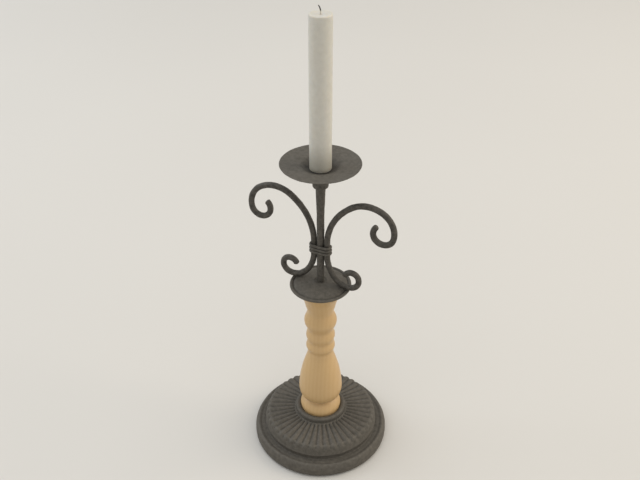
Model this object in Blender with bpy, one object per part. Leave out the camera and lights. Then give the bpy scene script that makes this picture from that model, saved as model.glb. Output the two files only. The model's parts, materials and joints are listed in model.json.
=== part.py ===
"""A candlestick with a fluted iron foot, a turned wooden column and two forged scrolls, holding one dinner candle.

Metres, +Z up. The origin is the middle of the underside, on the surface that it stands on. The scrolls lie in
the XZ plane. A threaded rod in the column clamps the foot, the column and the cap plate to the iron stem.
"""

import math

import bmesh
import bpy

MM = 0.001
GAP = 0.3 * MM  # clearance between pieces that touch

FELT_THICKNESS = 1.5 * MM
FELT_RADIUS = 74 * MM

BASE_FOOT = FELT_THICKNESS + GAP
BASE_RADIUS = 78 * MM
BASE_TOP = 36.3 * MM
DOME_RADIUS = 63.8 * MM
GROOVE_RADIUS = 64.8 * MM
GROOVE_HEIGHT = 15.7 * MM
FLUTES = 46
FLUTE_DEPTH = 1.0 * MM
FLUTE_START = 31.0 * MM  # the flutes begin just outside this radius, beside the seat ring
FLUTE_PHASE = math.radians(-4.3)  # from the scrolls' plane to the nearest ridge

SEAT_INNER = 23.4 * MM
SEAT_OUTER = 29.3 * MM
SEAT_TOP = 42.0 * MM

COLUMN_FOOT = BASE_TOP + GAP
COLUMN_TOP = 215.7 * MM
COLUMN_BORE = 3.0 * MM
SPIGOT_RADIUS = 22.9 * MM

CAP_BOTTOM = COLUMN_TOP + GAP
CAP_RADIUS = 33.0 * MM
CAP_TOP = 222.8 * MM
CAP_RECESS = 0.6 * MM  # how deep the stem stands in the cap

ROD_RADIUS = 2.45 * MM
ROD_HOLE = 2.8 * MM
ROD_BOTTOM = 15.0 * MM
ROD_TOP = 243 * MM
BOSS_BOTTOM = 29.5 * MM
WASHER_RADIUS = 7.5 * MM
WASHER_THICKNESS = 1.2 * MM
SPRING_RADIUS = 3.9 * MM
SPRING_WIDTH = 1.6 * MM
SPRING_THICKNESS = 1.1 * MM
SPRING_RISE = 0.7 * MM
NUT_HEIGHT = 4.0 * MM
NUT_ACROSS_FLATS = 8.0 * MM

STEM_BOTTOM = CAP_TOP - CAP_RECESS + GAP
STEM_RADIUS = 3.95 * MM
STEM_FOOT_RADIUS = 4.3 * MM
STEM_SHOULDER = 335 * MM
STEM_SHOULDER_RADIUS = 5.1 * MM
STEM_TOP = 352 * MM
TENON_RADIUS = 3.8 * MM

FLANGE_BOTTOM = STEM_SHOULDER + GAP
FLANGE_TOP = 356.5 * MM
FLANGE_BORE = TENON_RADIUS + GAP

PAN_BOTTOM = FLANGE_TOP + GAP
PAN_THICKNESS = 1.2 * MM
PAN_FLOOR = PAN_BOTTOM + PAN_THICKNESS
PAN_FLAT = 12 * MM
PAN_RADIUS = 40.2 * MM
PAN_RIM = 363.9 * MM

SHANK_RADIUS = 1.9 * MM
SHANK_HOLE = SHANK_RADIUS + GAP
SHANK_BOTTOM = 345 * MM
PRICKET_SHOULDER = 4.0 * MM
PRICKET_TIP = 391 * MM
PRICKET_RADIUS = 2.4 * MM

CANDLE_BOTTOM = PAN_FLOOR + GAP
CANDLE_TOP = 510.6 * MM
CANDLE_RADIUS = 11 * MM
CANDLE_HOLE = PRICKET_RADIUS + GAP
WICK_RADIUS = 0.7 * MM
WICK_TIP = 517.8 * MM
WICK_LEAN = 2.2 * MM

BAR_RADIUS = 3.2 * MM
BAR_OFFSET = 7.5 * MM  # from the stem's axis to a scroll bar's, at the binding
BINDING_MIDDLE = 263.6 * MM
STRAIGHT_TOP = 271.5 * MM
STRAIGHT_BOTTOM = 256.1 * MM
UPPER_ARCS = ((59.5, 57), (30.8, 60.5), (25.1, 74.8), (10.9, 219))  # radius in mm, turn in degrees
LOWER_ARCS = ((39.8, 41.9), (19.8, 52.3), (10.4, 105.7), (8.0, 145))

BINDING_TURNS = 3
BINDING_PITCH = 3.7 * MM
BINDING_WIDTH = 3.2 * MM
BINDING_THICKNESS = 1.5 * MM

ROUND = 40  # segments round a turned piece
CANDLE_ROUND = 32
SMALL_ROUND = 24  # segments round a small fitting


def clear_scene():
    for obj in list(bpy.data.objects):
        bpy.data.objects.remove(obj, do_unlink=True)


def material(name, colour, roughness, metallic):
    made = bpy.data.materials.new(name)
    made.use_nodes = True
    shader = made.node_tree.nodes["Principled BSDF"]
    shader.inputs["Base Color"].default_value = (*colour, 1)
    shader.inputs["Roughness"].default_value = roughness
    shader.inputs["Metallic"].default_value = metallic
    return made


def add_object(name, data, finish):
    obj = bpy.data.objects.new(name, data)
    obj.data.materials.append(finish)
    bpy.context.collection.objects.link(obj)
    return obj


def finish_mesh(name, bm, finish):
    bmesh.ops.remove_doubles(bm, verts=bm.verts, dist=1e-7)
    bmesh.ops.recalc_face_normals(bm, faces=bm.faces)
    mesh = bpy.data.meshes.new(name)
    bm.to_mesh(mesh)
    bm.free()
    mesh.shade_smooth()
    mesh.set_sharp_from_angle(angle=math.radians(35))
    return add_object(name, mesh, finish)


def arc(centre, radius, start, end, steps):
    """Points (r, z) round a centre, angles in degrees from the outward direction."""
    angles = [math.radians(start + (end - start) * k / steps) for k in range(steps + 1)]
    return [(centre[0] + radius * math.cos(a), centre[1] + radius * math.sin(a)) for a in angles]


def wave(start, end, steps):
    """Points (r, z) along a smooth S from one extreme of a turned profile to the next, without the last."""
    points = []
    for k in range(steps):
        t = k / steps
        blend = 0.5 - 0.5 * math.cos(math.pi * t)
        points.append((start[0] + (end[0] - start[0]) * blend, start[1] + (end[1] - start[1]) * t))
    return points


def in_metres(points):
    return [(r * MM, z * MM) for r, z in points]


def turned(outline, segments, closed):
    """A bmesh of an (r, z) outline spun about the Z axis. An open outline starts and ends on the axis."""
    bm = bmesh.new()
    verts = [bm.verts.new((r, 0, z)) for r, z in outline]
    edges = [bm.edges.new(pair) for pair in zip(verts, verts[1:])]
    if closed:
        edges.append(bm.edges.new((verts[-1], verts[0])))
    bmesh.ops.spin(
        bm,
        geom=verts + edges,
        cent=(0, 0, 0),
        axis=(0, 0, 1),
        angle=2 * math.pi,
        steps=segments,
        use_merge=True,
    )
    return bm


def swept(frames, section):
    """A bmesh of a closed section carried along frames of (centre, outward direction), with flat ends."""
    bm = bmesh.new()
    rings = []
    for (x, y, z), (out_x, out_y) in frames:
        rings.append([bm.verts.new((x + out_x * a, y + out_y * a, z + b)) for a, b in section])
    count = len(section)
    for ring, following in zip(rings, rings[1:]):
        for k in range(count):
            bm.faces.new((ring[k], ring[(k + 1) % count], following[(k + 1) % count], following[k]))
    bm.faces.new(rings[0])
    bm.faces.new(list(reversed(rings[-1])))
    return bm


def bar(name, points, radii, resolution, finish):
    """A round bar along points, with a radius at each, as a curve with a bevel and filled ends."""
    curve = bpy.data.curves.new(name, "CURVE")
    curve.dimensions = "3D"
    curve.bevel_depth = max(radii)
    curve.bevel_resolution = resolution
    curve.use_fill_caps = True
    spline = curve.splines.new("POLY")
    spline.points.add(len(points) - 1)
    for point, place, radius in zip(spline.points, points, radii):
        point.co = (*place, 1)
        point.radius = radius / max(radii)
    return add_object(name, curve, finish)


def felt_disc(felt):
    outline = [(0, 0), (FELT_RADIUS, 0), (FELT_RADIUS, FELT_THICKNESS), (0, FELT_THICKNESS)]
    finish_mesh("felt_disc", turned(outline, ROUND, closed=False), felt)


def base_outline():
    """The hollow cast foot, from the rod's hole over the dome and the rim and back underneath."""
    top = [(ROD_HOLE, BASE_TOP), (SEAT_OUTER + 0.7 * MM, BASE_TOP)]
    crown = in_metres([(31.5, 36.15), (34, 35.9), (46, 35.0), (56, 34.2)])
    shoulder = arc((58.8 * MM, 29.0 * MM), DOME_RADIUS - 58.8 * MM, 80, 8, 3)
    wall = in_metres([(65.0, 24.0), (65.8, 21.9), (64.8, 20.4)])
    groove = [(GROOVE_RADIUS, GROOVE_HEIGHT + 0.7 * MM), (GROOVE_RADIUS + 1.3 * MM, GROOVE_HEIGHT)]
    ledge = in_metres([(68.5, 15.9), (70.3, 15.9)])
    rim = in_metres([(71.8, 16.3), (73.4, 16.8), (74.9, 16.3), (76.2, 14.8), (77.3, 12.6)])
    rim += [(BASE_RADIUS, 9.5 * MM), (BASE_RADIUS, 5.5 * MM)]
    foot = [(BASE_RADIUS - 0.5 * MM, 3.3 * MM), (BASE_RADIUS - 1.8 * MM, BASE_FOOT), (72.5 * MM, BASE_FOOT)]
    hollow = in_metres([(72.0, 11.0), (62, 14.2), (60.0, 26), (55.0, 30.5), (16, 32)])
    boss = [(11 * MM, BOSS_BOTTOM), (ROD_HOLE, BOSS_BOTTOM)]
    return top + crown + shoulder + wall + groove + ledge + rim + foot + hollow + boss


def on_crown(vert):
    """Whether a vertex of the foot lies where the flutes are sunk."""
    radius = math.hypot(vert.co.x, vert.co.y)
    lowest = 32.5 * MM if radius < 57 * MM else 29.5 * MM
    return FLUTE_START < radius < DOME_RADIUS and vert.co.z > lowest


def base_casting(iron):
    """The foot: each flute is one more line of points, sunk between two ridges of the crown."""
    bm = turned(base_outline(), FLUTES, closed=True)
    crown = set(filter(on_crown, bm.verts))
    rings = [
        edge
        for edge in bm.edges
        if crown.issuperset(edge.verts) and abs(edge.verts[0].co.z - edge.verts[1].co.z) < 1e-6
    ]
    bmesh.ops.subdivide_edges(bm, edges=rings, cuts=1, use_grid_fill=True)
    for vert in filter(on_crown, bm.verts):
        turn = math.atan2(vert.co.y, vert.co.x)
        vert.co.z -= FLUTE_DEPTH * (0.5 - 0.5 * math.cos(FLUTES * turn))
    obj = finish_mesh("base_casting", bm, iron)
    obj.rotation_euler.z = FLUTE_PHASE


def seat_ring(iron):
    """The ring that centres the column on the foot, round outside and sloping gently down to the wood."""
    bottom = BASE_TOP + GAP
    half = (SEAT_OUTER - SEAT_INNER) / 2
    crest = (SEAT_OUTER - half, SEAT_TOP - half)
    outline = [(SEAT_INNER, bottom), (SEAT_OUTER, bottom)] + arc(crest, half, 0, 90, 4)
    outline += [(SEAT_INNER + 0.8 * MM, SEAT_TOP - 0.5 * MM), (SEAT_INNER, SEAT_TOP - 1.2 * MM)]
    finish_mesh("seat_ring", turned(outline, ROUND, closed=True), iron)


def column_outline():
    """The turned column: a foot bead, a crease, a vase, three beads, a cove and a top disc."""
    foot = [(COLUMN_BORE, COLUMN_FOOT), (SPIGOT_RADIUS, COLUMN_FOOT), (SPIGOT_RADIUS, SEAT_TOP)]
    foot_bead = in_metres([(23.3, 43.9), (23.2, 46.2), (22.4, 48.6), (21.0, 51.0), (19.3, 53.3), (15.8, 55.8)])
    vase = in_metres([(18.0, 57.0), (20.2, 58.4), (22.2, 60.6), (23.8, 63.9), (24.8, 68.5), (24.7, 75)])
    vase += in_metres([(23.9, 84), (22.4, 93.5), (20.5, 102), (18.0, 110.8), (15.3, 119.6)])
    extremes = in_metres([(13.9, 126.2), (16.2, 133.4), (14.0, 140.2), (16.1, 148.4), (13.9, 156.2)])
    extremes += in_metres([(18.0, 168.0), (14.1, 181.8)])
    beads = []
    for start, end, count in zip(extremes, extremes[1:], (3, 3, 3, 3, 4, 4)):
        beads += wave(start, end, count)
    cove = in_metres([(14.1, 181.8), (15.1, 185.5), (16.3, 190), (17.6, 195.5), (19.4, 201), (21.8, 205)])
    disc = in_metres([(22.2, 206.2)]) + arc((22.2 * MM, 209.8 * MM), 2.4 * MM, -60, 60, 3)
    top = [(23.0 * MM, 213.4 * MM), (23.0 * MM, COLUMN_TOP), (COLUMN_BORE, COLUMN_TOP)]
    return foot + foot_bead + vase + beads + cove + disc + top


def wood_column(wood):
    finish_mesh("wood_column", turned(column_outline(), ROUND, closed=True), wood)


def cap_plate(iron):
    """The cap: a very low cone with a beaded edge and a groove inside it, and a recess that the stem stands in."""
    recess_floor = CAP_TOP - CAP_RECESS
    outline = [(ROD_HOLE, CAP_BOTTOM)] + in_metres([(24, 216.0), (32.0, 216.7)])
    outline += [(CAP_RADIUS, 217.4 * MM), (CAP_RADIUS, 218.2 * MM)] + in_metres([(32.3, 219.0), (31.2, 219.4)])
    outline += in_metres([(30.0, 219.3), (29.0, 219.0), (28.3, 219.5), (25, 220.4), (22, 221.2), (15, 222.2)])
    outline += [(STEM_FOOT_RADIUS + 2.3 * MM, CAP_TOP), (STEM_FOOT_RADIUS + 2.0 * MM, recess_floor)]
    outline += [(ROD_HOLE, recess_floor)]
    finish_mesh("cap_plate", turned(outline, ROUND, closed=True), iron)


def tie_rod(steel):
    chamfer = 0.6 * MM
    outline = [(0, ROD_BOTTOM), (ROD_RADIUS - chamfer, ROD_BOTTOM), (ROD_RADIUS, ROD_BOTTOM + chamfer)]
    outline += [(ROD_RADIUS, ROD_TOP - chamfer), (ROD_RADIUS - chamfer, ROD_TOP), (0, ROD_TOP)]
    finish_mesh("tie_rod", turned(outline, SMALL_ROUND, closed=False), steel)


def rod_washer(steel, top):
    bottom = top - WASHER_THICKNESS
    outline = [(ROD_HOLE, bottom), (WASHER_RADIUS, bottom), (WASHER_RADIUS, top), (ROD_HOLE, top)]
    finish_mesh("rod_washer", turned(outline, SMALL_ROUND, closed=True), steel)
    return bottom - GAP


def spring_washer(steel, top):
    """A split ring, with one end of its cut higher than the other."""
    middle = top - SPRING_THICKNESS / 2 - SPRING_RISE / 2
    half_width, half_thickness = SPRING_WIDTH / 2, SPRING_THICKNESS / 2
    section = [(-half_width, -half_thickness), (half_width, -half_thickness)]
    section += [(half_width, half_thickness), (-half_width, half_thickness)]
    frames = []
    steps = 28
    for k in range(steps + 1):
        turn = math.radians(8 + 344 * k / steps)
        out = (math.cos(turn), math.sin(turn))
        height = middle + SPRING_RISE * (k / steps - 0.5)
        frames.append(((out[0] * SPRING_RADIUS, out[1] * SPRING_RADIUS, height), out))
    finish_mesh("spring_washer", swept(frames, section), steel)
    return middle - half_thickness - SPRING_RISE / 2 - GAP


def rod_nut(steel, top):
    corner = NUT_ACROSS_FLATS / math.sqrt(3)
    bm = bmesh.new()
    bmesh.ops.create_cone(bm, cap_ends=True, segments=6, radius1=corner, radius2=corner, depth=NUT_HEIGHT)
    nut = finish_mesh("rod_nut", bm, steel)
    nut.location.z = top - NUT_HEIGHT / 2
    bm = bmesh.new()
    bmesh.ops.create_cone(
        bm, cap_ends=True, segments=SMALL_ROUND, radius1=ROD_HOLE, radius2=ROD_HOLE, depth=2 * NUT_HEIGHT
    )
    drill = finish_mesh("nut_drill", bm, steel)
    drill.location = nut.location
    drill.hide_render = True
    drill.display_type = "WIRE"
    hole = nut.modifiers.new("hole", "BOOLEAN")
    hole.operation = "DIFFERENCE"
    hole.solver = "EXACT"
    hole.object = drill


def stem(iron):
    """The forged stem, with a threaded socket for the rod below and one for the pricket above."""
    socket_end = ROD_TOP + 3 * MM
    outline = [(0, socket_end), (ROD_HOLE, socket_end), (ROD_HOLE, STEM_BOTTOM), (STEM_FOOT_RADIUS, STEM_BOTTOM)]
    outline += [(STEM_FOOT_RADIUS, STEM_BOTTOM + 2.0 * MM)]
    outline += [(STEM_RADIUS, STEM_BOTTOM + 7 * MM), (STEM_RADIUS, 303 * MM)]
    outline += in_metres([(4.1, 311), (4.35, 317), (4.65, 325), (4.9, 331)])
    outline += [(STEM_SHOULDER_RADIUS, STEM_SHOULDER), (TENON_RADIUS, STEM_SHOULDER), (TENON_RADIUS, STEM_TOP)]
    outline += [(SHANK_HOLE, STEM_TOP), (SHANK_HOLE, SHANK_BOTTOM - 2 * MM), (0, SHANK_BOTTOM - 2 * MM)]
    finish_mesh("stem", turned(outline, SMALL_ROUND, closed=False), iron)


def pan_flange(iron):
    outline = [(FLANGE_BORE, FLANGE_BOTTOM), (5.3 * MM, FLANGE_BOTTOM)]
    outline += in_metres([(5.4, 336.9), (6.6, 338.0), (7.6, 339.2), (8.0, 341), (8.4, 346), (9.4, 353)])
    outline += [(10.4 * MM, FLANGE_TOP), (FLANGE_BORE, FLANGE_TOP)]
    finish_mesh("pan_flange", turned(outline, SMALL_ROUND, closed=True), iron)


def drip_pan(iron):
    """A thin saucer: a flat seat under the candle, a slope up round it and a wide shallow brim."""
    slope = in_metres([(14.5, 358.8), (17, 360.3), (19.5, 361.5)])
    brim = in_metres([(26, 362.8), (34, 363.4)])
    upper = [(PAN_FLAT, PAN_FLOOR)] + slope + brim + [(PAN_RADIUS, PAN_RIM)]
    lower = [(r, z - PAN_THICKNESS) for r, z in upper[:-1]]
    edge = [(PAN_RADIUS - 0.6 * MM, PAN_RIM - 0.9 * MM), (PAN_RADIUS + 0.3 * MM, PAN_RIM - 0.4 * MM)]
    outline = [(SHANK_HOLE, PAN_BOTTOM)] + lower + edge + list(reversed(upper)) + [(SHANK_HOLE, PAN_FLOOR)]
    finish_mesh("drip_pan", turned(outline, ROUND, closed=True), iron)


def pricket(iron):
    shoulder = PAN_FLOOR + GAP
    outline = [(0, SHANK_BOTTOM), (SHANK_RADIUS, SHANK_BOTTOM), (SHANK_RADIUS, shoulder)]
    outline += [(PRICKET_SHOULDER, shoulder), (PRICKET_SHOULDER, shoulder + 1 * MM)]
    outline += [(PRICKET_RADIUS, shoulder + 1 * MM), (PRICKET_RADIUS * 0.8, PRICKET_TIP - 12 * MM), (0, PRICKET_TIP)]
    finish_mesh("pricket", turned(outline, SMALL_ROUND, closed=False), iron)


def scroll_side(arcs, start, heading):
    """Points (x, z) in metres along a chain of arcs, from the binding outwards. Heading is +1 up or -1 down."""
    x, z = start
    angle = math.radians(90) * heading
    points = []
    for radius, turn in arcs:
        radius *= MM
        sweep = -heading * math.radians(turn)
        steps = max(4, round(abs(sweep) * (radius / MM) ** 0.5 * 1.25))
        side = -heading * radius
        centre = (x - side * math.sin(angle), z + side * math.cos(angle))
        for k in range(1, steps + 1):
            a = angle + sweep * k / steps
            points.append((centre[0] + side * math.sin(a), centre[1] - side * math.cos(a)))
        x, z = points[-1]
        angle += sweep
    return points


def scroll(name, side, iron):
    """One forged bar, curled at both ends, whose straight middle lies beside the stem."""
    upper = scroll_side(UPPER_ARCS, (BAR_OFFSET, STRAIGHT_TOP), 1)
    lower = scroll_side(LOWER_ARCS, (BAR_OFFSET, STRAIGHT_BOTTOM), -1)
    middle = [(BAR_OFFSET, STRAIGHT_BOTTOM), (BAR_OFFSET, STRAIGHT_TOP)]
    path = list(reversed(lower)) + middle + upper
    radii = [BAR_RADIUS] * len(path)
    for end, inner in ((0, 1), (-1, -2)):
        tip = path[end]
        back = path[inner]
        step = math.hypot(tip[0] - back[0], tip[1] - back[1])
        share = 0.35 * BAR_RADIUS / step
        shy = (tip[0] + (back[0] - tip[0]) * share, tip[1] + (back[1] - tip[1]) * share)
        place = 1 if end == 0 else len(path) - 1
        path.insert(place, shy)
        radii.insert(place, BAR_RADIUS)
        radii[end] = BAR_RADIUS * 0.7
    bar(name, [(side * x, 0, z) for x, z in path], radii, 2, iron)


def scrolls(iron):
    for name, side in (("scroll_right", 1), ("scroll_left", -1)):
        scroll(name, side, iron)


def stadium(distance, reach, radius):
    """A place and its outward direction on a stadium about the Z axis, at a distance along its edge."""
    end = math.pi * radius
    flat = 2 * reach
    distance %= 2 * (end + flat)
    turn = 0
    if distance >= end + flat:
        distance -= end + flat
        turn = math.pi
    if distance < end:
        angle = distance / radius - math.pi / 2
        out = (math.cos(angle), math.sin(angle))
        place = (reach + radius * out[0], radius * out[1])
    else:
        out = (0, 1)
        place = (reach - (distance - end), radius)
    flip = math.cos(turn)
    return (place[0] * flip, place[1] * flip), (out[0] * flip, out[1] * flip)


def binding_wire(iron):
    """A flat half-round wire wound round the scroll bars and the stem; it climbs to each next turn at the back."""
    inner = STEM_RADIUS + GAP
    reach = BAR_OFFSET + BAR_RADIUS + GAP - inner
    length = 2 * math.pi * inner + 4 * reach
    half = BINDING_WIDTH / 2
    crown = 0.65 * BINDING_WIDTH / 2
    section = [(0, -half), (BINDING_THICKNESS * 0.55, -half), (BINDING_THICKNESS, -crown)]
    section += [(BINDING_THICKNESS, crown), (BINDING_THICKNESS * 0.55, half), (0, half)]
    climb_start, climb_length = 0.25, 0.27  # shares of a turn
    begin, end = 0.56, BINDING_TURNS + 0.2  # in turns, from the front right corner
    steps = 80
    frames = []
    for k in range(steps + 1):
        turn = begin + (end - begin) * k / steps
        place, out = stadium(turn * length, reach, inner)
        whole = math.floor(turn - climb_start)
        climbed = min(1, (turn - climb_start - whole) / climb_length)
        height = BINDING_MIDDLE + BINDING_PITCH * (whole + climbed - (BINDING_TURNS + 1) / 2)
        frames.append(((*place, height), out))
    finish_mesh("binding_wire", swept(frames, section), iron)


def candle(wax):
    counterbore = PRICKET_SHOULDER + GAP
    shelf = CANDLE_BOTTOM + 1 * MM + GAP
    hole_end = PRICKET_TIP + 3 * MM
    wick_hole = WICK_RADIUS + GAP
    outline = [(counterbore, CANDLE_BOTTOM), (CANDLE_RADIUS - 0.4 * MM, CANDLE_BOTTOM)]
    outline += [(CANDLE_RADIUS, CANDLE_BOTTOM + 0.4 * MM)]
    outline += arc((CANDLE_RADIUS - 1.2 * MM, CANDLE_TOP - 1.2 * MM), 1.2 * MM, 0, 90, 3)
    outline += [(4 * MM, CANDLE_TOP - 0.5 * MM), (wick_hole, CANDLE_TOP - 0.7 * MM)]
    outline += [(wick_hole, hole_end), (CANDLE_HOLE, hole_end), (CANDLE_HOLE, shelf), (counterbore, shelf)]
    finish_mesh("candle", turned(outline, CANDLE_ROUND, closed=True), wax)


def wick(cotton):
    """The wick runs down the candle to the pricket, and its tip leans over."""
    straight_top = CANDLE_TOP + 1.5 * MM
    lean = (-0.91, -0.41)
    points = [(0, 0, PRICKET_TIP + 4 * MM), (0, 0, straight_top)]
    steps = 4
    for k in range(1, steps + 1):
        t = k / steps
        reach = WICK_LEAN * t * t
        points.append((lean[0] * reach, lean[1] * reach, straight_top + (WICK_TIP - straight_top) * t))
    bar("wick", points, [WICK_RADIUS] * len(points), 2, cotton)


def main():
    clear_scene()
    iron = material("forged_iron", (0.09, 0.085, 0.075), 0.55, 0.6)
    cast = material("cast_iron", (0.10, 0.095, 0.085), 0.6, 0.6)
    wood = material("turned_wood", (0.55, 0.36, 0.17), 0.5, 0.0)
    steel = material("zinc_steel", (0.45, 0.45, 0.45), 0.4, 1.0)
    felt = material("felt", (0.02, 0.025, 0.02), 0.95, 0.0)
    wax = material("wax", (0.72, 0.68, 0.58), 0.4, 0.0)
    cotton = material("wick_cotton", (0.06, 0.05, 0.04), 0.9, 0.0)

    felt_disc(felt)
    base_casting(cast)
    seat_ring(cast)
    wood_column(wood)
    cap_plate(cast)
    tie_rod(steel)
    below_washer = rod_washer(steel, BOSS_BOTTOM - GAP)
    below_spring = spring_washer(steel, below_washer)
    rod_nut(steel, below_spring)
    stem(iron)
    pan_flange(iron)
    drip_pan(iron)
    pricket(iron)
    scrolls(iron)
    binding_wire(iron)
    candle(wax)
    wick(cotton)


main()
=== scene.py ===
"""Looks of the candlestick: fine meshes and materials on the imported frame, a pale floor, lights and a camera.

Metres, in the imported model's frame. Shapes are written in millimetres. An outline is a list of (radius,
height) points: lathe() takes heights above the foot of its piece, and standing() makes those from heights
above the table.
"""

import json
import math

import bmesh
import bpy
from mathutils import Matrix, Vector, noise

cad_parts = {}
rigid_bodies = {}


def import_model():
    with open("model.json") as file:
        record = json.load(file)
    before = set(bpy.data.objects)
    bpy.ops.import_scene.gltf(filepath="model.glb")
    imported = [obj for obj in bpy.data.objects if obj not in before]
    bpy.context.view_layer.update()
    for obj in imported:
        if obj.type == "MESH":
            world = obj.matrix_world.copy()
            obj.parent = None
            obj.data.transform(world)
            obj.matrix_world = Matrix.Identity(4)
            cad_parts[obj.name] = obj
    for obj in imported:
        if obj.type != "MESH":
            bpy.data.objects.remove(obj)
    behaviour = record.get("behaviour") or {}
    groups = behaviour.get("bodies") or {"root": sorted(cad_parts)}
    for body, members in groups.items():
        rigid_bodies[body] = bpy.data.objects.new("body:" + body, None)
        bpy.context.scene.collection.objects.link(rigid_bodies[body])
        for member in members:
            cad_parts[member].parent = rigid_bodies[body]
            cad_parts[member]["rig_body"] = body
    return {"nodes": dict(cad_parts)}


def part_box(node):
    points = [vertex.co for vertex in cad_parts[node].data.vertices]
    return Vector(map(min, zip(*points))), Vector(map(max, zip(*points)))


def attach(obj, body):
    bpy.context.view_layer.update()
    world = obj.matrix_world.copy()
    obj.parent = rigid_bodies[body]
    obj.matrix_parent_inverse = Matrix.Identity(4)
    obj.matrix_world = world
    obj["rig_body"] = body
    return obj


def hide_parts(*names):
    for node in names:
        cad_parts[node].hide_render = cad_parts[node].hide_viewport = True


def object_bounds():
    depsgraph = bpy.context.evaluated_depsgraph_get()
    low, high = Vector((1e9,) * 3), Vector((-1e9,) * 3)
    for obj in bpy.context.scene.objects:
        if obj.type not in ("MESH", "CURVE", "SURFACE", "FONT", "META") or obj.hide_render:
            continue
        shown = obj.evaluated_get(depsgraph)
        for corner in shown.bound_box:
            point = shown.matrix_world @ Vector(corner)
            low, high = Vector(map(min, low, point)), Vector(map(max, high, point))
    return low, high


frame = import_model()
cad_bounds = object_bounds()

MM = 0.001
GAP = 0.3  # clearance between touching pieces
ROD_HOLE = 2.8  # radius of the holes that the tie rod passes through
SHANK_HOLE = 2.2  # radius of the pricket's hole in the pan and in the stem

FLUTES = 46
FLUTE_DEPTH = 1.6
FLUTE_PHASE = math.radians(-4.3)  # from the scrolls' plane to the nearest ridge
STEPS_PER_FLUTE = 12

STEM_RADIUS = 3.95
STEM_SHOULDER = 335.0
STEM_TOP = 352.0

BAR_RADIUS = 3.2
BAR_OFFSET = 7.5  # from the stem's axis to a scroll bar's, at the binding
BLUNT = 1.6  # how far from its end a bar starts to round off
BINDING_MIDDLE = 263.6
STRAIGHT_TOP = 271.5
STRAIGHT_BOTTOM = 256.1
UPPER_ARCS = ((59.5, 57), (30.8, 60.5), (25.1, 74.8), (10.9, 219))  # radius in mm, turn in degrees
LOWER_ARCS = ((39.8, 41.9), (19.8, 52.3), (10.4, 105.7), (8.0, 145))

PAN_THICKNESS = 1.2

BINDING_TURNS = 3
BINDING_PITCH = 3.7
BINDING_WIDTH = 3.2
BINDING_THICKNESS = 1.5

THREAD_PITCH = 0.8
THREAD_DEPTH = 0.45
THREAD_LENGTH = 26

CAMERA_AZIMUTH = math.radians(24.19)
CAMERA_PITCH = math.radians(33.865)  # below the horizon
CAMERA_DISTANCE = 0.6868  # in metres, from the candlestick's axis along the floor
CAMERA_HEIGHT = 0.73446  # in metres
LENS, SENSOR = 45.11, 36
SHIFT_X, SHIFT_Y = -0.0009, 0.0005

FLOOR_RADIUS = 14  # in metres
LAMP_DISTANCE = 4.0  # in metres, from the candlestick's middle

ROUND = 96  # segments round a turned piece
SMALL_ROUND = 48


# --------------------------------------------------------------------------------------- places and outlines


def foot(node):
    """The height of a CAD node's lowest point, in mm."""
    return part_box(node)[0].z / MM


def tall(node):
    """The height of a CAD node from its foot to its top, in mm."""
    low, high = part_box(node)
    return (high.z - low.z) / MM


def reach(node):
    """The outer radius of a turned CAD node, in mm."""
    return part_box(node)[1].x / MM


def standing(points, node):
    """Points at heights above the table, as heights above the foot of a node."""
    return [(radius, height - foot(node)) for radius, height in points]


def smooth(value, low, high):
    t = min(1, max(0, (value - low) / (high - low)))
    return t * t * (3 - 2 * t)


def arc(centre, radius, start, end, steps):
    """Points round a centre, angles in degrees from the outward direction."""
    angles = [math.radians(start + (end - start) * k / steps) for k in range(steps + 1)]
    return [(centre[0] + radius * math.cos(a), centre[1] + radius * math.sin(a)) for a in angles]


def curve(points, steps=6):
    """A smooth curve through points, without a corner between its ends."""
    places = [Vector(p) for p in points]
    tangents = []
    for k in range(len(places)):
        before, after = places[max(0, k - 1)], places[min(len(places) - 1, k + 1)]
        tangents.append((after - before) / (1 if k in (0, len(places) - 1) else 2))
    found = []
    for k in range(len(places) - 1):
        for step in range(steps):
            t = step / steps
            t2, t3 = t * t, t * t * t
            point = (2 * t3 - 3 * t2 + 1) * places[k] + (t3 - 2 * t2 + t) * tangents[k]
            point += (3 * t2 - 2 * t3) * places[k + 1] + (t3 - t2) * tangents[k + 1]
            found.append(tuple(point))
    return found + [tuple(places[-1])]


def bead(start, end, crest, steps=12):
    """A turned bead from one notch to the next, without its last point."""
    sharpness = 1.6  # over 1, the notches are wider than a plain half wave's
    points = []
    for k in range(steps):
        t = k / steps
        valley = start[0] + (end[0] - start[0]) * t
        radius = valley + (crest - valley) * math.sin(math.pi * t) ** sharpness
        points.append((radius, start[1] + (end[1] - start[1]) * t))
    return points


def softened(outline, radius):
    """The outline with each sharp corner rounded off, when both its sides are long enough."""
    steps = 3
    found = []
    count = len(outline)
    for k in range(count):
        here = Vector(outline[k])
        before, after = Vector(outline[k - 1]) - here, Vector(outline[(k + 1) % count]) - here
        on_axis = here.x < 1e-6
        if on_axis or before.length < 2.2 * radius or after.length < 2.2 * radius:
            found.append(tuple(here))
            continue
        if before.angle(after) > math.radians(150):  # nearly straight
            found.append(tuple(here))
            continue
        start, end = here + before.normalized() * radius, here + after.normalized() * radius
        for step in range(steps + 1):
            t = step / steps
            found.append(tuple(start * (1 - t) ** 2 + here * 2 * t * (1 - t) + end * t * t))
    return found


# ---------------------------------------------------------------------------------------------------- meshes


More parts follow.
